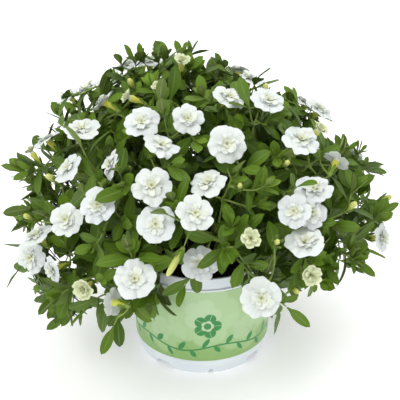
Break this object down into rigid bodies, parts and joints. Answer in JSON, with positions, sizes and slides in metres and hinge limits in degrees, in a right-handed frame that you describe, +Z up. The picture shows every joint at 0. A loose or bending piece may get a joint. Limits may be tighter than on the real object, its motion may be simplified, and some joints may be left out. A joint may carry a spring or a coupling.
{
  "type": "potted flowering plant",
  "caption": "Mounded balcony plant of leafy trailing stems with ruffled double white blooms, in a footed round plastic pot with a printed band.",
  "frame": {"origin": "centre of the circle that the pot's feet stand on, on the pot's axis", "axes": "+Z up the pot's axis, -Y the front that faces the viewer, +X to the viewer's right"},
  "size_m": [0.3645, 0.3578, 0.3018],
  "materials": {
    "pot_plastic": "white moulded plastic, satin, faintly blue",
    "printed_band": "thin printed plastic band, leaf green with paler blossom shapes, satin",
    "peat": null,
    "leafy_stem": null,
    "petals": null
  },
  "bodies": {
    "root": {"band": "printed_band", "bloom_01": "petals", "bloom_02": "petals", "bloom_03": "petals", "bloom_04": "petals", "bloom_05": "petals", "bloom_06": "petals", "bloom_07": "petals", "bloom_08": "petals", "bloom_09": "petals", "bloom_10": "petals", "bloom_11": "petals", "bloom_12": "petals", "bloom_13": "petals", "bloom_14": "petals", "bloom_15": "petals", "bloom_16": "petals", "bloom_17": "petals", "bloom_18": "petals", "bloom_19": "petals", "bloom_20": "petals", "bloom_21": "petals", "bloom_22": "petals", "bloom_23": "petals", "bloom_24": "petals", "bloom_25": "petals", "bloom_26": "petals", "bloom_27": "petals", "bloom_28": "petals", "bloom_29": "petals", "bloom_30": "petals", "bloom_31": "petals", "bloom_32": "petals", "bloom_33": "petals", "bloom_34": "petals", "bloom_35": "petals", "bloom_36": "petals", "bloom_37": "petals", "bloom_38": "petals", "bloom_39": "petals", "bloom_40": "petals", "bloom_41": "petals", "pot": "pot_plastic", "soil": "peat", "stem_01": "leafy_stem", "stem_02": "leafy_stem", "stem_03": "leafy_stem", "stem_04": "leafy_stem", "stem_05": "leafy_stem", "stem_06": "leafy_stem", "stem_07": "leafy_stem", "stem_08": "leafy_stem", "stem_09": "leafy_stem", "stem_10": "leafy_stem", "stem_11": "leafy_stem", "stem_12": "leafy_stem", "stem_13": "leafy_stem"}
  },
  "joints": []
}
